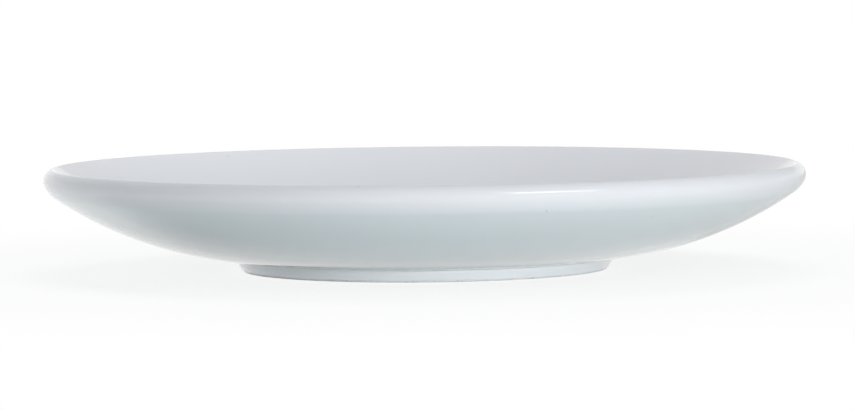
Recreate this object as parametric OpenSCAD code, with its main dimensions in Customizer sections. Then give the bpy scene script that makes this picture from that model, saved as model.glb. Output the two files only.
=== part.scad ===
// Saucer: a fired clay body under a fused glaze, turned about the Z axis.
// The table is Z = 0. Sizes are those of the finished saucer, over the glaze.

/* [Rim] */
// Outside diameter of the rim
rim_d = 150; // [110:1:200]
// Height of the crest, the highest line round the lip, above the table
height = 20.6; // [16:0.1:40]
// Distance of the crest from the rim's outer edge
crest_in = 1.7; // [1.2:0.1:2.2]
// Radius of the crest
crest_r = 0.8; // [0.5:0.1:1.1]
// Radius of the lip's outer face, from the crest to under the rim's edge
lip_r = 2.4; // [1.8:0.1:3.2]

/* [Wall and floor] */
// Slope of the outer wall where it leaves the foot, in degrees
wall_start = 4.8; // [0:0.2:12]
// Thickness of the floor between the base and the dish
floor_t = 4.6; // [3.5:0.1:7]
// Width of the level floor round the cup well
floor_w = 2.4; // [0.5:0.1:6]

/* [Cup well] */
// Diameter of the flat bottom that takes the cup's foot
well_d = 52; // [40:0.5:64]
// Depth of the well below the floor
well_depth = 1; // [0.5:0.1:2]
// Radius of both bends of the well's step
well_step_r = 2; // [1.2:0.1:4]

/* [Foot] */
// Diameter of the foot at its root, where the wall starts
foot_d = 74.8; // [66:0.2:90]
// Height of the foot's root above the table
foot_h = 2.4; // [1.8:0.1:6]
// Slant of both sides of the foot from upright, in degrees
foot_taper = 28; // [8:1:38]
// Width of the foot between the corners of its two sides
foot_ring_w = 4.4; // [3:0.1:8]
// Radius of the foot's lower edges
foot_edge_r = 0.5; // [0.2:0.05:0.8]
// Radius of the hollow corners where the foot meets the wall and the base
foot_root_r = 0.8; // [0.3:0.1:1]
// Height of the base inside the foot above the table
base_h = 2; // [1.6:0.1:4]

/* [Glaze] */
// Thickness of the glaze
glaze_t = 0.25; // [0.1:0.05:0.4]
// Width of the bare band between the foot's rounded edge and the glaze
bare_w = 0.05; // [0.02:0.01:0.3]

/* [Hidden] */

biscuit_colour = [0.90, 0.89, 0.86];
glaze_colour = [0.84, 0.88, 0.89];
turn_steps = 256;
facet_angle = 7.5;
facet_length = 1.6;

// Heights of the dish
floor_z = base_h + floor_t;
well_z = floor_z - well_depth;

// Lip: a tight crest on the wider round of the outer face
crest_c = [rim_d / 2 - crest_in, height - crest_r];
lip_in = lip_r - crest_in;
lip_c = crest_c - [lip_in, sqrt(pow(lip_r - crest_r, 2) - pow(lip_in, 2))];
crest_end = heading(crest_c - lip_c);

// Outer wall: one arc from the foot's root to the lip
root_corner = [foot_d / 2, foot_h];
wall_normal = polar(1, 90 + wall_start);
lip_to_root = root_corner - lip_c;
wall_r = (lip_r * lip_r - lip_to_root * lip_to_root) / (2 * (wall_normal * lip_to_root + lip_r));
wall_c = root_corner + wall_r * wall_normal;
wall_top = heading(lip_c - wall_c);

// Cup well: two bends of the same radius make the step up to the floor
step_turn = acos(1 - well_depth / (2 * well_step_r));
step_low_c = [well_d / 2, well_z + well_step_r];
step_high_c = step_low_c + 2 * polar(well_step_r, step_turn - 90);

// Inner sweep: one arc from the floor to the lip's crest
floor_r = step_high_c[0] + floor_w;
sweep_run = crest_c[0] - floor_r;
sweep_rise = crest_c[1] - floor_z;
sweep_r = (pow(sweep_run, 2) + pow(sweep_rise, 2) - pow(crest_r, 2)) / (2 * (sweep_rise + crest_r));
sweep_c = [floor_r, floor_z + sweep_r];
sweep_end = heading(crest_c - sweep_c);

// Foot: both sides slant, and hollow corners blend them into the wall and the base
foot_corner_r = root_corner[0] - foot_h * tan(foot_taper);
foot_normal = polar(1, -foot_taper);
foot_down = polar(1, -90 - foot_taper);
root_from = root_corner + foot_root_r * foot_normal;
root_arm = root_from - wall_c;
root_dot = root_arm * foot_down;
root_drop = sqrt(root_dot * root_dot - root_arm * root_arm + pow(wall_r + foot_root_r, 2)) - root_dot;
root_c = root_from + root_drop * foot_down;
wall_end = heading(root_c - wall_c);
base_root_z = base_h - foot_root_r;
base_root_c = [base_side_r(base_root_z, -foot_root_r), base_root_z];

// Glaze lines: the glaze ends in a round bead just above the foot's bare lower edges
bead_z = foot_edge_r * (1 - sin(foot_taper)) + bare_w + glaze_t * cos(foot_taper);
bead_c = [foot_side_r(bead_z, glaze_t), bead_z];
base_bead_c = [base_side_r(bead_z, glaze_t), bead_z];

function polar(r, angle) = r * [cos(angle), sin(angle)];
function heading(v) = atan2(v[1], v[0]);
function reversed(points) = [for (i = [len(points) - 1:-1:0]) points[i]];

// Points along an arc without its first one; grow is added to the radius, not to the count
function arc(centre, r, from, to, grow = 0) =
    let (turn = abs(to - from))
    let (steps = ceil(max(turn / facet_angle, turn * PI / 180 * r / facet_length, 2)))
    [for (i = [1:steps]) centre + polar(r + grow, from + (to - from) * i / steps)];

// Radius of the foot's outer and inner side at height z, set in by d
function foot_side_r(z, d) = foot_corner_r + z * tan(foot_taper) - d / cos(foot_taper);
function base_side_r(z, d) = foot_corner_r - foot_ring_w - z * tan(foot_taper) + d / cos(foot_taper);

// Upper skin, set in by d: from the middle of the well over the lip to the glaze line on the foot
function upper_skin(d) = concat(
    [[0, well_z - d], [well_d / 2, well_z - d]],
    arc(step_low_c, well_step_r, -90, step_turn - 90, d),
    arc(step_high_c, well_step_r, step_turn + 90, 90, -d),
    [[floor_r, floor_z - d]],
    arc(sweep_c, sweep_r, -90, sweep_end, d),
    arc(crest_c, crest_r, sweep_end + 180, crest_end, -d),
    arc(lip_c, lip_r, crest_end, wall_top, -d),
    arc(wall_c, wall_r, wall_top, wall_end, -d),
    arc(root_c, foot_root_r, wall_end + 180, 180 - foot_taper, d),
    [bead_c + (glaze_t - d) * foot_normal]
);

// Base skin, set in by d: from the glaze line inside the foot to the middle of the base
function base_skin(d) = concat(
    [base_bead_c + polar(glaze_t - d, 180 + foot_taper)],
    [base_root_c + polar(foot_root_r + d, foot_taper)],
    arc(base_root_c, foot_root_r, foot_taper, 90, d),
    [[0, base_h + d]]
);

// Bare standing ring between the two glaze lines
function standing_ring() =
    let (out_c = [foot_side_r(foot_edge_r, glaze_t + foot_edge_r), foot_edge_r])
    let (in_c = [base_side_r(foot_edge_r, glaze_t + foot_edge_r), foot_edge_r])
    concat(
        [out_c + foot_edge_r * foot_normal],
        arc(out_c, foot_edge_r, -foot_taper, -90),
        [in_c - [0, foot_edge_r]],
        arc(in_c, foot_edge_r, -90, foot_taper - 180)
    );

module turned(outline) {
    rotate_extrude($fn = turn_steps) polygon(outline);
}

// Fired clay body, bare only on the ring it stands on
module biscuit_body() {
    color(biscuit_colour)
    turned(concat(upper_skin(glaze_t), standing_ring(), base_skin(glaze_t)));
}

// Glaze over the dish, the lip, the outer wall and the foot's outer side
module outer_glaze() {
    color(glaze_colour)
    turned(concat(
        upper_skin(0),
        arc(bead_c, glaze_t, -foot_taper, -90 - foot_taper),
        reversed(upper_skin(glaze_t))
    ));
}

// Glaze over the base inside the foot
module base_glaze() {
    color(glaze_colour)
    turned(concat(
        reversed(base_skin(0)),
        arc(base_bead_c, glaze_t, 180 + foot_taper, 270 + foot_taper),
        base_skin(glaze_t)
    ));
}

biscuit_body();
outer_glaze();
base_glaze();
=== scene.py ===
"""Dresses the packed solids of a glazed saucer and lights it for a studio picture."""

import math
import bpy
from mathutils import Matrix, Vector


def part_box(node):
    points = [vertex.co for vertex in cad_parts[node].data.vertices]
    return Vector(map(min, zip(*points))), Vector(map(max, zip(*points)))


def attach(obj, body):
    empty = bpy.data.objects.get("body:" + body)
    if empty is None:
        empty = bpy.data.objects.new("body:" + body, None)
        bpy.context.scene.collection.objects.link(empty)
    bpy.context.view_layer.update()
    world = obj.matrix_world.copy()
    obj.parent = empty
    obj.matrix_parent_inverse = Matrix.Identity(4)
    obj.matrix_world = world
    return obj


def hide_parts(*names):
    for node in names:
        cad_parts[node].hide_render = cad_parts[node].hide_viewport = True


bl_info = {
    "name": "Saucer",
    "version": (1, 0, 0),
    "blender": (4, 5, 0),
    "location": "View3D > Sidebar > Saucer",
    "description": "Makes a glazed saucer and the studio that it stands in",
    "category": "Object",
}

from collections import namedtuple

import bmesh
import bpy
from bpy.props import FloatProperty, FloatVectorProperty, IntProperty, PointerProperty
from bpy.types import Operator, Panel, PropertyGroup
from mathutils import Matrix, Vector

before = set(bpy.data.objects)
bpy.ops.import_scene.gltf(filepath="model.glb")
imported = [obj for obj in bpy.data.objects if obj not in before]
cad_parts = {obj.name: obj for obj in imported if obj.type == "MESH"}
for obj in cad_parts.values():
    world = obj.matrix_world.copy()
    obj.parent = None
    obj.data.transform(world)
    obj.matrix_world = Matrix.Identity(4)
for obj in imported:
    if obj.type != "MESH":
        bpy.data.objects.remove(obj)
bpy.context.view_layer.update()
glaze_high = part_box("outer_glaze")[1]

BODY = "root"
GLAZE_NAME = "glaze_finish"
QUARTER = math.pi / 2

# Longest steps along a section: fine where it shows, plain where the glaze covers it
Step = namedtuple("Step", "angle length")
FINE = Step(math.radians(3), 0.001)
PLAIN = Step(math.radians(12), 0.004)

# Least bend between two faces that stays a sharp edge
SHARP_BEND = math.radians(50)

# Waves per turn and phase of the glaze line's slow wander round the foot, and the inner line's own start
LINE_WAVES = ((2, 0.7), (5, 2.1), (11, 4.0), (23, 1.2))
INNER_LINE_START = 1

# Lean of the surface, as its normal's rise, over which the lip's glaze turns into the wall's: painted
# shade, a darker and tealer glaze where the surface faces down
WALL_SHADE_FROM = -0.45
WALL_SHADE_TO = -0.92

# Changes of the glaze's colour, in metres: at the crest, beyond which the lip is painted darker as shade;
# the band of painted shade just outside the crest; the well's corner, where the glaze pools; and the ring
# of painted light at the foot's root
CREST_BEHIND = 0.0001
CREST_BEYOND = 0.0003
CREST_SHADE_REACH = 0.002
POOL_OUT = 0.0008
POOL_REACH = 0.0022
ROOT_LIGHT_REACH = 0.0013

# Marks in the glaze, in waves or cells per metre
CLOUD_SCALE = 28.0
MOTTLE_SCALE = 160.0
SPECK_SCALE = 150.0
PEEL_SCALE = 330.0
RING_SCALE = 420.0

# How much each mark counts in the glaze's colour, roughness and ripple
POOL_TINT = 0.5
CLOUD_TINT = 0.16
MOTTLE_TINT = 0.1
MOTTLE_ROUGH = 0.04
SPECK_TINT = 0.7
SPECK_DIP = 0.5
RING_LIFT = 0.6

# Edge and dark middle of a speck, as distances in its cell
SPECK_EDGE = 0.034
SPECK_MIDDLE = 0.012

# Marks in the bare clay, in waves or cells per metre, and how much each counts
SMOKE_SCALE = 90.0
SMOKE_TINT = 0.4
GRAIN_SCALE = 2600.0
GRAIN_TINT = 0.3
GRAIN_ROUGH = 0.12
GRIT_SCALE = 900.0
GRIT_TINT = 0.6

# Edge and dark middle of a piece of grit, as distances in its cell
GRIT_EDGE = 0.26
GRIT_MIDDLE = 0.14

# Middle level of noise
EVEN = 0.5

# Half the floor's side, and its gap below the saucer, in metres
FLOOR_HALF = 12.0
FLOOR_GAP = 0.00002

# How white the camera sees the floor at the saucer, and the distances over which it turns all white
NEAR_WHITE = 0.86
LIT_FROM = 0.06
LIT_TO = 0.18

# Distances over which the sheet that gloss sees below the saucer turns into the floor's two sides
SIDES_FROM = 0.045
SIDES_TO = 0.063

# Painted shade that gloss sees at the front left: the distances and the depths over which it sets in
SHADE_FROM = 0.12
SHADE_TO = 0.085
SHADE_BACK = -0.01
SHADE_FRONT = -0.042

# Rise over which the white backdrop that gloss sees turns into the room above it
BAND_FROM = 0.14
BAND_TO = 0.22

# Half the width over which left turns into right, on the floor and in the room
SIDE_BLEND = 0.06

BLACK = (0.0, 0.0, 0.0, 1.0)
WHITE = (1.0, 1.0, 1.0, 1.0)

# Lamps: turned from the front to the right by azimuth, raised by elevation, and aimed at the saucer
Lamp = namedtuple("Lamp", "name azimuth elevation distance width height radiance gloss")
LAMPS = (
    Lamp("front_strip", 26, 5, 1.4, 0.8, 0.24, 20.8, False),
    Lamp("left_strip", 240, 5, 1.4, 0.8, 0.24, 13.5, False),
    Lamp("right_panel", 65, 63, 1.55, 1.0, 1.0, 1.5, False),
    Lamp("left_panel", 300, 50, 1.55, 1.0, 1.0, 0.9, False),
    Lamp("back_panel", 180, 63, 1.55, 1.0, 1.0, 3.7, False),
    Lamp("key", 40, 30, 1.5, 0.68, 0.18, 7.6, True),
)


# Sizes, finishes and studio that a user may change
def length(name, description, default):
    """A size in metres."""
    return FloatProperty(name=name, description=description, default=default, precision=5, unit="LENGTH")


def angle(name, description, degrees):
    """An angle, given in degrees."""
    return FloatProperty(name=name, description=description, default=math.radians(degrees), subtype="ANGLE")


def number(name, description, default):
    """A plain number."""
    return FloatProperty(name=name, description=description, default=default, min=0.0)


def colour(name, description, default):
    """A linear colour."""
    return FloatVectorProperty(
        name=name, description=description, default=default, size=3, min=0.0, max=1.0, subtype="COLOR"
    )


class SaucerShape(PropertyGroup):
    """Sizes of the saucer over its glaze."""

    rim_d: length("Rim", "Outside diameter of the rim", 2 * glaze_high.x)
    height: length("Height", "Height of the lip's crest above the table", glaze_high.z)
    crest_in: length("Crest inset", "From the rim's edge in to the lip's crest", 0.0017)
    crest_r: length("Crest radius", "Radius of the lip's crest", 0.0005)
    lip_r: length("Lip radius", "Radius of the lip's outer face, from the crest to the blend", 0.0024)
    blend_r: length("Blend radius", "Radius over which the lip eases into the wall", 0.006)
    blend_from: angle("Blend start", "How far below level the lip faces where it eases into the wall", 28)
    wall_start: angle("Wall slope", "Slope of the outer wall where it leaves the foot", 4.8)
    floor_t: length("Floor thickness", "From the base up to the floor of the dish", 0.0046)
    floor_w: length("Floor width", "Width of the level floor round the well", 0.0024)
    well_d: length("Well", "Diameter of the well's flat bottom", 0.052)
    well_depth: length("Well depth", "Depth of the well below the floor", 0.001)
    well_step_r: length("Step radius", "Radius of both bends of the well's step", 0.002)
    foot_d: length("Foot", "Diameter of the foot at its root", 0.0748)
    foot_h: length("Foot height", "Height of the foot's root above the table", 0.0024)
    foot_taper: angle("Foot taper", "Slant of both sides of the foot from upright", 28)
    foot_ring_w: length("Ring width", "Width of the foot between its lower corners", 0.0044)
    foot_edge_r: length("Foot edge", "Radius of the foot's lower edges", 0.0005)
    foot_root_r: length("Foot root", "Radius of the hollow corners above the foot", 0.0004)
    base_h: length("Base height", "Height of the base inside the foot", 0.002)
    glaze_t: length("Glaze", "Thickness of the glaze", 0.00025)
    bare_w: length("Bare band", "Least bare band between the foot's edge and the glaze", 0.00005)
    line_wander: length("Glaze line", "How far the glaze line strays up the foot", 0.00018)
    turns: IntProperty(name="Turn steps", description="Steps round each piece", default=256, min=32)


class SaucerFinish(PropertyGroup):
    """Colours and surface of the glaze and the bare clay."""

    dish: colour("Dish glaze", "Colour of the glaze in the dish", (0.735, 0.757, 0.797))
    # Painted shade: the lip's glaze is a darker copy of the dish's glaze
    lip: colour("Lip glaze", "Colour of the glaze over the lip", (0.695, 0.718, 0.756))
    # Painted shade: a darker band of glaze just outside the crest
    edge: colour("Edge glaze", "Colour where the glaze thins outside the crest", (0.625, 0.646, 0.684))
    # Painted shade: darker, tealer glaze where the surface faces down
    wall: colour("Wall glaze", "Colour of the glaze on the outer wall", (0.667, 0.737, 0.766))
    pool: colour("Pooled glaze", "Colour where the glaze runs thick, in corners", (0.56, 0.66, 0.70))
    # Thinning glaze down the foot, also painted lighter as painted light from below
    thin: colour("Thin glaze", "Colour where the glaze thins out down the foot", (0.81, 0.855, 0.885))
    # Painted light: a pale ring at the foot's root, standing in for light from below
    root: colour("Foot root glaze", "Colour where the glaze breaks at the foot's root", (0.88, 0.905, 0.92))
    speck: colour("Specks", "Colour of the iron specks in the glaze", (0.30, 0.31, 0.30))
    clay: colour("Clay", "Colour of the bare fired clay", (0.80, 0.80, 0.79))
    grit: colour("Grit", "Colour of the dark grit in the clay", (0.55, 0.545, 0.53))
    glaze_rough: number("Glaze roughness", "Roughness of the glaze where it is smoothest", 0.05)
    glaze_ior: number("Glaze index", "Refractive index of the glaze", 1.58)
    clay_rough: number("Clay roughness", "Roughness of the bare clay where it is smoothest", 0.82)
    clay_ior: number("Clay index", "Refractive index of the bare clay", 1.45)
    peel: length("Glaze ripple", "Height of the ripple in the fired glaze", 0.000012)
    grain: length("Clay grain", "Height of the grain of the bare clay", 0.00004)


class SaucerStudio(PropertyGroup):
    """Camera, floor and room round the saucer."""

    camera_back: length("Camera distance", "From the saucer's middle to the camera, along the floor", 1.0)
    camera_up: length("Camera height", "Height of the camera above the table", 0.07284)
    camera_tilt: angle("Camera tilt", "How far the camera looks down", 3.4459)
    camera_pan: angle("Camera pan", "Turn of the camera about the upright", -0.025)
    camera_roll: angle("Camera roll", "Turn of the camera about its own axis", -0.5627)
    lens: FloatProperty(name="Lens", description="Focal length", default=214.09, unit="CAMERA")
    floor: colour("Floor", "Colour of the pale floor", (0.90, 0.93, 0.93))
    sheet: colour("Floor in gloss", "What gloss shows of the floor", (1.0, 0.99, 0.98))
    # Painted shade in gloss: the floor's darker front left and right
    shade: colour("Shade in gloss", "What gloss shows of the shade at the front left", (0.5, 0.51, 0.51))
    painted_right_shade: colour("Right floor in gloss", "What gloss shows of the floor on the right", (0.74, 0.733, 0.725))
    room_left: colour("Room on the left", "What gloss shows above the left backdrop", (0.88, 0.88, 0.88))
    room_right: colour("Room on the right", "What gloss shows above the right backdrop", (0.75, 0.75, 0.75))


# Section of the saucer: half of its outline, with the axis at radius 0
def polar(r, turn):
    """A point at that distance and direction from the origin of the section."""
    return Vector((r * math.cos(turn), r * math.sin(turn)))


def heading(way):
    """Direction of a vector of the section."""
    return math.atan2(way.y, way.x)


def arc(centre, r, start, end, grow, step):
    """Points along an arc without its first one; grow is added to the radius, not to the count."""
    turn = abs(end - start)
    count = max(2, math.ceil(turn / step.angle), math.ceil(turn * r / step.length))
    return [centre + polar(r + grow, start + (end - start) * i / count) for i in range(1, count + 1)]


def line(start, end, step):
    """Points along a straight line without its first one."""
    count = math.ceil((end - start).length / step.length)
    return [start.lerp(end, i / count) for i in range(1, count + 1)]


class Section:
    """The saucer's half section, worked out from its driving sizes."""

    def __init__(self, size):
        self.size = size
        self.floor_z = size.base_h + size.floor_t
        self.well_z = self.floor_z - size.well_depth
        self.lay_lip()
        self.lay_dish()
        self.lay_wall()
        self.lay_foot()

    def lay_lip(self):
        """A tight crest on the wider round of the lip's outer face, and the blend below that."""
        size = self.size
        self.crest_c = Vector((size.rim_d / 2 - size.crest_in, size.height - size.crest_r))
        lip_in = size.lip_r - size.crest_in
        lip_down = math.sqrt((size.lip_r - size.crest_r) ** 2 - lip_in ** 2)
        self.lip_c = self.crest_c - Vector((lip_in, lip_down))
        self.crest_end = heading(self.crest_c - self.lip_c)
        self.blend_c = self.lip_c - polar(size.blend_r - size.lip_r, -size.blend_from)

    def lay_dish(self):
        """The well's step and the sweep from the floor up to the lip's crest."""
        size = self.size
        self.step_turn = math.acos(1 - size.well_depth / (2 * size.well_step_r))
        self.step_low_c = Vector((size.well_d / 2, self.well_z + size.well_step_r))
        self.step_high_c = self.step_low_c + 2 * polar(size.well_step_r, self.step_turn - QUARTER)
        self.floor_r = self.step_high_c.x + size.floor_w
        run = self.crest_c - Vector((self.floor_r, self.floor_z))
        self.sweep_r = (run.length_squared - size.crest_r ** 2) / (2 * (run.y + size.crest_r))
        self.sweep_c = Vector((self.floor_r, self.floor_z + self.sweep_r))
        self.sweep_end = heading(self.crest_c - self.sweep_c)

    def lay_wall(self):
        """The outer wall's arc, from the blend below the lip to the foot's root."""
        size = self.size
        self.root = Vector((size.foot_d / 2, size.foot_h))
        wall_normal = polar(1, QUARTER + size.wall_start)
        reach = self.root - self.blend_c
        fall = wall_normal.dot(reach) + size.blend_r
        self.wall_r = (size.blend_r ** 2 - reach.length_squared) / (2 * fall)
        self.wall_c = self.root + self.wall_r * wall_normal
        self.wall_top = heading(self.blend_c - self.wall_c)

    def lay_foot(self):
        """The foot's slanted sides, its hollow corners and the beads that the glaze ends in."""
        size = self.size
        taper = size.foot_taper
        self.corner_r = self.root.x - size.foot_h * math.tan(taper)
        self.foot_normal = polar(1, -taper)
        self.foot_down = polar(1, -QUARTER - taper)
        start = self.root + size.foot_root_r * self.foot_normal
        arm = start - self.wall_c
        along = arm.dot(self.foot_down)
        drop = math.sqrt(along ** 2 - arm.length_squared + (self.wall_r + size.foot_root_r) ** 2) - along
        self.root_c = start + drop * self.foot_down
        self.wall_end = heading(self.root_c - self.wall_c)
        base_root_z = size.base_h - size.foot_root_r
        self.base_root_c = Vector((self.base_side_r(base_root_z, -size.foot_root_r), base_root_z))
        bead_z = size.foot_edge_r * (1 - math.sin(taper)) + size.bare_w + size.glaze_t * math.cos(taper)
        self.bead_c = Vector((self.foot_side_r(bead_z, size.glaze_t), bead_z))
        self.base_bead_c = Vector((self.base_side_r(bead_z, size.glaze_t), bead_z))

    def foot_side_r(self, z, inset):
        """Radius of the foot's outer side at a height, set in by a thickness."""
        taper = self.size.foot_taper
        return self.corner_r + z * math.tan(taper) - inset / math.cos(taper)

    def base_side_r(self, z, inset):
        """Radius of the foot's inner side at a height, set in by a thickness."""
        taper = self.size.foot_taper
        return self.corner_r - self.size.foot_ring_w - z * math.tan(taper) + inset / math.cos(taper)

    def upper_skin(self, inset, step):
        """From the middle of the well over the lip to the glaze line on the foot."""
        size = self.size
        skin = [Vector((0, self.well_z - inset))]
        skin += line(skin[-1], Vector((size.well_d / 2, self.well_z - inset)), step)
        skin += arc(self.step_low_c, size.well_step_r, -QUARTER, self.step_turn - QUARTER, inset, step)
        skin += arc(self.step_high_c, size.well_step_r, self.step_turn + QUARTER, QUARTER, -inset, step)
        skin += line(skin[-1], Vector((self.floor_r, self.floor_z - inset)), step)
        skin += arc(self.sweep_c, self.sweep_r, -QUARTER, self.sweep_end, inset, step)
        skin += arc(self.crest_c, size.crest_r, self.sweep_end + math.pi, self.crest_end, -inset, step)
        skin += arc(self.lip_c, size.lip_r, self.crest_end, -size.blend_from, -inset, step)
        skin += arc(self.blend_c, size.blend_r, -size.blend_from, self.wall_top, -inset, step)
        skin += arc(self.wall_c, self.wall_r, self.wall_top, self.wall_end, -inset, step)
        root_end = math.pi - size.foot_taper
        skin += arc(self.root_c, size.foot_root_r, self.wall_end + math.pi, root_end, inset, step)
        skin += line(skin[-1], self.bead_c + (size.glaze_t - inset) * self.foot_normal, step)
        return skin

    def base_skin(self, inset, step):
        """From the glaze line inside the foot to the middle of the base."""
        size = self.size
        taper = size.foot_taper
        skin = [self.base_bead_c + polar(size.glaze_t - inset, math.pi + taper)]
        skin += line(skin[-1], self.base_root_c + polar(size.foot_root_r + inset, taper), step)
        skin += arc(self.base_root_c, size.foot_root_r, taper, QUARTER, inset, step)
        skin += line(skin[-1], Vector((0, size.base_h + inset)), step)
        return skin

    def standing_ring(self):
        """The bare ring between the two glaze lines."""
        size = self.size
        edge = size.foot_edge_r
        taper = size.foot_taper
        out_c = Vector((self.foot_side_r(edge, size.glaze_t + edge), edge))
        in_c = Vector((self.base_side_r(edge, size.glaze_t + edge), edge))
        ring = [out_c + edge * self.foot_normal]
        ring += arc(out_c, edge, -taper, -QUARTER, 0, FINE)
        ring += line(ring[-1], in_c - Vector((0, edge)), FINE)
        ring += arc(in_c, edge, -QUARTER, taper - math.pi, 0, FINE)
        return ring

    def clay_outline(self):
        """Section of the clay body under the glaze."""
        inset = self.size.glaze_t
        return self.upper_skin(inset, PLAIN) + self.standing_ring() + self.base_skin(inset, PLAIN)

    def glaze_outline(self):
        """Section of the glaze over the dish, the lip, the wall and the foot's outer side."""
        inset = self.size.glaze_t
        taper = self.size.foot_taper
        bead = arc(self.bead_c, inset, -taper, -QUARTER - taper, 0, FINE)
        return self.upper_skin(0, FINE) + bead + self.upper_skin(inset, PLAIN)[::-1]

    def base_outline(self):
        """Section of the glaze over the base inside the foot."""
        inset = self.size.glaze_t
        taper = self.size.foot_taper
        bead = arc(self.base_bead_c, inset, 3 * QUARTER + taper, math.pi + taper, 0, FINE)
        return self.base_skin(inset, PLAIN)[::-1] + bead + self.base_skin(0, FINE)

    def line_slip(self, point, way):
        """The part of the glaze line's step along the foot's side that a point of the glaze follows."""
        free_z = self.size.base_h - self.size.foot_root_r
        part = (free_z - point.y) / (free_z - self.bead_c.y)
        return min(1.0, max(0.0, part)) * way


def wander(turn, reach):
    """How far the glaze line strays up the foot at a turn about the axis, never below its lowest line."""
    waves = sum(math.sin(count * turn + phase) / (1 + i) for i, (count, phase) in enumerate(LINE_WAVES))
    most = sum(1 / (1 + i) for i in range(len(LINE_WAVES)))
    return reach * (1 + waves / most) / 2


# Meshes
def lathe(name, outline, turns, slip):
    """Turns an outline that starts and ends on the axis into a closed, smooth object."""
    bm = bmesh.new()
    rings = []
    for point in outline:
        if point.x == 0:
            rings.append([bm.verts.new((0, 0, point.y))])
            continue
        ring = []
        for i in range(turns):
            turn = math.tau * i / turns
            moved = point + slip(point, turn)
            ring.append(bm.verts.new((moved.x * math.cos(turn), moved.x * math.sin(turn), moved.y)))
        rings.append(ring)
    for upper, lower in zip(rings, rings[1:]):
        for i in range(turns):
            after = (i + 1) % turns
            corners = [(upper, i), (lower, i), (lower, after), (upper, after)]
            face = bm.faces.new(dict.fromkeys(ring[j % len(ring)] for ring, j in corners))
            face.smooth = True
    mesh = bpy.data.meshes.new(name)
    bm.to_mesh(mesh)
    bm.free()
    mesh.set_sharp_from_angle(angle=SHARP_BEND)
    piece = bpy.data.objects.new(name, mesh)
    bpy.context.scene.collection.objects.link(piece)
    return piece


def still(point, turn):
    """No movement: the piece is turned true."""
    return Vector((0, 0))


# Shader sockets in Python arithmetic
class Wire:
    """A shader value; arithmetic on it adds Math nodes."""

    def __init__(self, paint, socket):
        self.paint = paint
        self.socket = socket

    def other(self, name):
        """Another output of the same node."""
        return Wire(self.paint, self.socket.node.outputs[name])

    def __add__(self, value):
        return self.paint.math("ADD", self, value)

    __radd__ = __add__

    def __sub__(self, value):
        return self.paint.math("SUBTRACT", self, value)

    def __rsub__(self, value):
        return self.paint.math("SUBTRACT", value, self)

    def __mul__(self, value):
        return self.paint.math("MULTIPLY", self, value)

    __rmul__ = __mul__

    def __pow__(self, value):
        return self.paint.math("POWER", self, value)

    def __rpow__(self, value):
        return self.paint.math("POWER", value, self)


class Paint:
    """A node tree that is filled one node at a time."""

    def __init__(self, tree):
        self.tree = tree
        tree.nodes.clear()

    def node(self, kind, settings=None, sockets=None, output=0):
        """Adds a node: its settings first, then the values or links of its sockets."""
        made = self.tree.nodes.new(kind)
        for name, value in (settings or {}).items():
            setattr(made, name, value)
        for name, value in (sockets or {}).items():
            if isinstance(value, Wire):
                self.tree.links.new(value.socket, made.inputs[name])
            else:
                made.inputs[name].default_value = value
        return Wire(self, made.outputs[output]) if made.outputs else None

    def math(self, operation, first, second):
        """One Math node on two values."""
        return self.node("ShaderNodeMath", {"operation": operation}, {0: first, 1: second})

    def ease(self, value, start, end):
        """0 before start, 1 after end and smooth between; start may be the larger one."""
        return self.node(
            "ShaderNodeMapRange",
            {"interpolation_type": "SMOOTHSTEP"},
            {"Value": value, "From Min": start, "From Max": end},
        )

    def mix(self, factor, first, second):
        """A colour between two; sockets by number, because each kind of data repeats their names."""
        return self.node("ShaderNodeMix", {"data_type": "RGBA"}, {0: factor, 6: first, 7: second}, 2)

    def noise(self, place, scale, detail):
        """Cloudy noise from 0 to 1."""
        return self.node("ShaderNodeTexNoise", None, {"Vector": place, "Scale": scale, "Detail": detail})

    def cells(self, place, scale):
        """Distance from the middle of the nearest of many scattered cells."""
        return self.node("ShaderNodeTexVoronoi", {"feature": "F1"}, {"Vector": place, "Scale": scale})

    def bump(self, height, depth):
        """A normal that follows a height from 0 to 1, which stands for that depth."""
        return self.node("ShaderNodeBump", None, {"Strength": 1.0, "Distance": depth, "Height": height})


# Materials
def rgba(value):
    """A colour property as a socket takes it."""
    return (*value, 1.0)


def new_paint(name):
    """An empty material and its node tree."""
    material = bpy.data.materials.new(name)
    material.use_nodes = True
    return material, Paint(material.node_tree)


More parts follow.
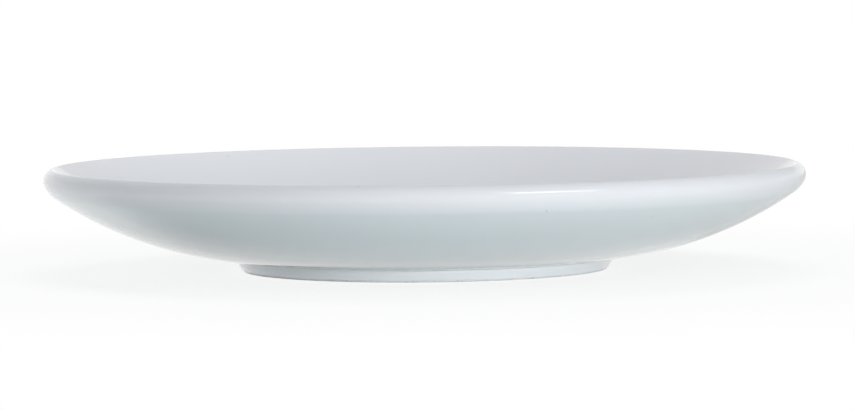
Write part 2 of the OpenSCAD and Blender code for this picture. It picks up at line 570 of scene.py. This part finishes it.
def glaze_material(finish, section):
    """Glossy pale glaze, pooled, cloudy, specked and faintly rippled; painted darker as shade beyond the
    crest, in a band just outside it and where it faces down; thinner and painted lighter down the foot, and
    with a ring of painted light at the foot's root.
    """
    material, paint = new_paint(GLAZE_NAME)
    size = section.size
    place = paint.node("ShaderNodeTexCoord", output="Object")
    x = paint.node("ShaderNodeSeparateXYZ", None, {"Vector": place})
    y = x.other("Y")
    z = x.other("Z")
    r = (x * x + y * y) ** 0.5

    def near(spot, reach):
        """1 at a spot of the section, falling to 0 at its reach."""
        across = r - spot.x
        above = z - spot.y
        return paint.ease((across * across + above * above) ** 0.5, reach, 0.0)

    facing = paint.node("ShaderNodeTexCoord", output="Normal")
    lean = paint.node("ShaderNodeSeparateXYZ", None, {"Vector": facing}, "Z")
    crest_r = section.crest_c.x
    outside = paint.ease(r, crest_r - CREST_BEHIND, crest_r + CREST_BEYOND)
    painted_crest_shade = near(Vector((crest_r + CREST_BEYOND, size.height)), CREST_SHADE_REACH) * outside
    under = paint.ease(lean, WALL_SHADE_FROM, WALL_SHADE_TO)
    pooled = near(Vector((size.well_d / 2 + POOL_OUT, section.well_z)), POOL_REACH) * POOL_TINT
    thinned_and_painted_light = paint.ease(z, size.foot_h + size.foot_root_r, size.foot_h)
    painted_root_light = near(section.root, ROOT_LIGHT_REACH)
    clouds = paint.noise(place, CLOUD_SCALE, detail=3.0)
    mottle = paint.noise(place, MOTTLE_SCALE, detail=2.0)
    specks = paint.ease(paint.cells(place, SPECK_SCALE), SPECK_EDGE, SPECK_MIDDLE)
    # Painted shade: beyond the crest the glaze is painted darker than in the dish
    tone = paint.mix(outside, rgba(finish.dish), rgba(finish.lip))
    # Painted shade: a darker band just outside the crest
    tone = paint.mix(painted_crest_shade, tone, rgba(finish.edge))
    # Painted shade: darker, tealer glaze on surfaces that face down
    tone = paint.mix(under, tone, rgba(finish.wall))
    tone = paint.mix(pooled + (clouds - EVEN) * CLOUD_TINT, tone, rgba(finish.pool))
    # Thinning glaze down the foot, painted lighter as well: partly real, partly painted light
    tone = paint.mix(thinned_and_painted_light + (mottle - EVEN) * MOTTLE_TINT, tone, rgba(finish.thin))
    # Painted light: a pale ring round the foot's root
    tone = paint.mix(painted_root_light, tone, rgba(finish.root))
    tone = paint.mix(specks * SPECK_TINT, tone, rgba(finish.speck))

    section_place = paint.node("ShaderNodeCombineXYZ", None, {"X": r, "Y": z})
    rings = paint.noise(section_place, RING_SCALE, detail=1.0)
    peel = paint.noise(place, PEEL_SCALE, detail=2.0)
    sockets = {
        "Base Color": tone,
        "Roughness": finish.glaze_rough + mottle * MOTTLE_ROUGH,
        "IOR": finish.glaze_ior,
        "Normal": paint.bump(peel + rings * RING_LIFT - specks * SPECK_DIP, finish.peel),
    }
    surface = paint.node("ShaderNodeBsdfPrincipled", None, sockets)
    paint.node("ShaderNodeOutputMaterial", None, {"Surface": surface})
    return material


def shared_glaze(finish, section):
    """The glaze's material, made on first use, because both coats are of one glaze."""
    return bpy.data.materials.get(GLAZE_NAME) or glaze_material(finish, section)


def clay_material(finish):
    """Matte fired clay with a fine grain and dark grit."""
    material, paint = new_paint("bare_clay")
    place = paint.node("ShaderNodeTexCoord", output="Object")
    smoke = paint.noise(place, SMOKE_SCALE, detail=3.0)
    grain = paint.noise(place, GRAIN_SCALE, detail=3.0)
    grit = paint.ease(paint.cells(place, GRIT_SCALE), GRIT_EDGE, GRIT_MIDDLE)
    dark = grit * GRIT_TINT + (smoke - EVEN) * SMOKE_TINT + (grain - EVEN) * GRAIN_TINT
    sockets = {
        "Base Color": paint.mix(dark, rgba(finish.clay), rgba(finish.grit)),
        "Roughness": finish.clay_rough + grain * GRAIN_ROUGH,
        "IOR": finish.clay_ior,
        "Normal": paint.bump(grain, finish.grain),
    }
    surface = paint.node("ShaderNodeBsdfPrincipled", None, sockets)
    paint.node("ShaderNodeOutputMaterial", None, {"Surface": surface})
    return material


# Pieces
def place_piece(piece, material, node):
    """Dresses a piece, sets it on the saucer's body and lets it stand for its solid."""
    piece.data.materials.append(material)
    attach(piece, BODY)
    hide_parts(node)


class SAUCER_OT_clay_body(Operator):
    """Make the fired clay body, bare only on the ring that it stands on"""

    bl_idname = "saucer.clay_body"
    bl_label = "Clay body"

    def execute(self, context):
        scene = context.scene
        section = Section(scene.saucer_shape)
        piece = lathe("clay_body", section.clay_outline(), scene.saucer_shape.turns, still)
        place_piece(piece, clay_material(scene.saucer_finish), "biscuit_body")
        return {"FINISHED"}


class SAUCER_OT_glaze_coat(Operator):
    """Make the glaze over the dish, the lip, the wall and the outer side of the foot"""

    bl_idname = "saucer.glaze_coat"
    bl_label = "Glaze coat"

    def execute(self, context):
        scene = context.scene
        size = scene.saucer_shape
        section = Section(size)

        def slip(point, turn):
            return section.line_slip(point, -wander(turn, size.line_wander) * section.foot_down)

        piece = lathe("glaze_coat", section.glaze_outline(), size.turns, slip)
        place_piece(piece, shared_glaze(scene.saucer_finish, section), "outer_glaze")
        return {"FINISHED"}


class SAUCER_OT_base_coat(Operator):
    """Make the glaze over the base inside the foot"""

    bl_idname = "saucer.base_coat"
    bl_label = "Base coat"

    def execute(self, context):
        scene = context.scene
        size = scene.saucer_shape
        section = Section(size)
        side_up = polar(1, QUARTER + size.foot_taper)

        def slip(point, turn):
            return section.line_slip(point, wander(turn + INNER_LINE_START, size.line_wander) * side_up)

        piece = lathe("base_coat", section.base_outline(), size.turns, slip)
        place_piece(piece, shared_glaze(scene.saucer_finish, section), "base_glaze")
        return {"FINISHED"}


# Studio
def floor_material(studio):
    """Pale floor that takes the saucer's shadow and runs out into white, and a paper sheet in gloss with
    painted shade at the front left and on the right.
    """
    material, paint = new_paint("floor")
    place = paint.node("ShaderNodeTexCoord", output="Object")
    away = paint.node("ShaderNodeVectorMath", {"operation": "LENGTH"}, {0: place}, "Value")
    x = paint.node("ShaderNodeSeparateXYZ", None, {"Vector": place})
    path = paint.node("ShaderNodeLightPath", output="Is Camera Ray")
    glossy = path.other("Is Glossy Ray")
    white = paint.ease(away, LIT_FROM, LIT_TO) * (1 - NEAR_WHITE) + NEAR_WHITE
    seen = (path + path.other("Is Transmission Ray")) * white + glossy
    # Painted shade in gloss: the sheet turns darker at the front left and on the right
    painted_front_shade = paint.ease(x.other("Y"), SHADE_BACK, SHADE_FRONT) * paint.ease(away, SHADE_FROM, SHADE_TO)
    left_side = paint.mix(painted_front_shade, rgba(studio.sheet), rgba(studio.shade))
    sides = paint.mix(paint.ease(x, -SIDE_BLEND, SIDE_BLEND), left_side, rgba(studio.painted_right_shade))
    mirrored = paint.mix(paint.ease(away, SIDES_FROM, SIDES_TO), rgba(studio.sheet), sides)
    glow = paint.mix(glossy, WHITE, mirrored)
    lit = paint.node("ShaderNodeBsdfDiffuse", None, {"Color": rgba(studio.floor)})
    backdrop = paint.node("ShaderNodeEmission", None, {"Color": glow, "Strength": 1.0})
    surface = paint.node("ShaderNodeMixShader", None, {0: seen, 1: lit, 2: backdrop})
    paint.node("ShaderNodeOutputMaterial", None, {"Surface": surface})
    return material


def lay_floor(studio):
    """A wide floor just below the saucer."""
    sides = ((-1, -1), (1, -1), (1, 1), (-1, 1))
    corners = [(right * FLOOR_HALF, back * FLOOR_HALF, -FLOOR_GAP) for right, back in sides]
    mesh = bpy.data.meshes.new("floor")
    mesh.from_pydata(corners, [], [(0, 1, 2, 3)])
    mesh.materials.append(floor_material(studio))
    floor = bpy.data.objects.new("floor", mesh)
    bpy.context.scene.collection.objects.link(floor)


def light_room(studio):
    """A room without light of its own: a white backdrop, with a greyer room above it in gloss."""
    world = bpy.data.worlds.new("studio")
    world.use_nodes = True
    paint = Paint(world.node_tree)
    way = paint.node("ShaderNodeTexCoord", output="Generated")
    across = paint.node("ShaderNodeSeparateXYZ", None, {"Vector": way})
    path = paint.node("ShaderNodeLightPath", output="Is Camera Ray")
    seen = path + path.other("Is Glossy Ray") + path.other("Is Transmission Ray")
    above = paint.ease(across.other("Z"), BAND_FROM, BAND_TO) * (1 - path)
    right = paint.ease(across, -SIDE_BLEND, SIDE_BLEND)
    room = paint.mix(right, rgba(studio.room_left), rgba(studio.room_right))
    shown = paint.mix(above, WHITE, room)
    light = paint.mix(seen, BLACK, shown)
    background = paint.node("ShaderNodeBackground", None, {"Color": light, "Strength": 1.0})
    paint.node("ShaderNodeOutputWorld", None, {"Surface": background})
    bpy.context.scene.world = world


def hang_lamp(lamp):
    """A soft white rectangular lamp aimed at the saucer."""
    light = bpy.data.lights.new(lamp.name, "AREA")
    light.shape = "RECTANGLE"
    light.size = lamp.width
    light.size_y = lamp.height
    light.energy = lamp.radiance * math.pi * lamp.width * lamp.height
    turn = math.radians(lamp.azimuth)
    rise = math.radians(lamp.elevation)
    way = Vector((math.sin(turn) * math.cos(rise), -math.cos(turn) * math.cos(rise), math.sin(rise)))
    aim = way.to_track_quat("Z", "Y").to_matrix().to_4x4()
    holder = bpy.data.objects.new(lamp.name, light)
    holder.visible_glossy = lamp.gloss
    holder.matrix_world = Matrix.Translation(way * lamp.distance) @ aim
    bpy.context.scene.collection.objects.link(holder)


def set_camera(studio):
    """A long lens just above the table, as the picture was taken."""
    data = bpy.data.cameras.new("camera")
    data.lens = studio.lens
    camera = bpy.data.objects.new("camera", data)
    camera.matrix_world = (
        Matrix.Translation((0, -studio.camera_back, studio.camera_up))
        @ Matrix.Rotation(studio.camera_pan, 4, "Z")
        @ Matrix.Rotation(QUARTER - studio.camera_tilt, 4, "X")
        @ Matrix.Rotation(studio.camera_roll, 4, "Z")
    )
    bpy.context.scene.collection.objects.link(camera)
    bpy.context.scene.camera = camera


class SAUCER_OT_studio(Operator):
    """Set up the floor, the light and the camera"""

    bl_idname = "saucer.studio"
    bl_label = "Studio"

    def execute(self, context):
        studio = context.scene.saucer_studio
        lay_floor(studio)
        light_room(studio)
        for lamp in LAMPS:
            hang_lamp(lamp)
        set_camera(studio)
        context.scene.view_settings.view_transform = "Standard"
        return {"FINISHED"}


# Panel, registration and making
class SAUCER_PT_sidebar(Panel):
    """Lists the saucer's pieces, sizes and finishes."""

    bl_idname = "SAUCER_PT_sidebar"
    bl_label = "Saucer"
    bl_space_type = "VIEW_3D"
    bl_region_type = "UI"
    bl_category = "Saucer"

    def draw(self, context):
        for operator in OPERATORS:
            self.layout.operator(operator.bl_idname)
        for name, group in GROUPS.items():
            box = self.layout.box()
            box.label(text=group.__doc__)
            for key in group.__annotations__:
                box.prop(getattr(context.scene, name), key)


GROUPS = {"saucer_shape": SaucerShape, "saucer_finish": SaucerFinish, "saucer_studio": SaucerStudio}
OPERATORS = (SAUCER_OT_clay_body, SAUCER_OT_glaze_coat, SAUCER_OT_base_coat, SAUCER_OT_studio)


def register():
    """Makes the groups, operators and panel known to Blender."""
    for group in (*GROUPS.values(), *OPERATORS, SAUCER_PT_sidebar):
        bpy.utils.register_class(group)
    for name, group in GROUPS.items():
        setattr(bpy.types.Scene, name, PointerProperty(type=group))


def unregister():
    """Takes them away again."""
    for name in GROUPS:
        delattr(bpy.types.Scene, name)
    for group in (SAUCER_PT_sidebar, *OPERATORS, *GROUPS.values()):
        bpy.utils.unregister_class(group)


def main():
    """Makes the saucer and its studio."""
    register()
    bpy.ops.saucer.clay_body()
    bpy.ops.saucer.glaze_coat()
    bpy.ops.saucer.base_coat()
    bpy.ops.saucer.studio()


if __name__ == "__main__":
    main()
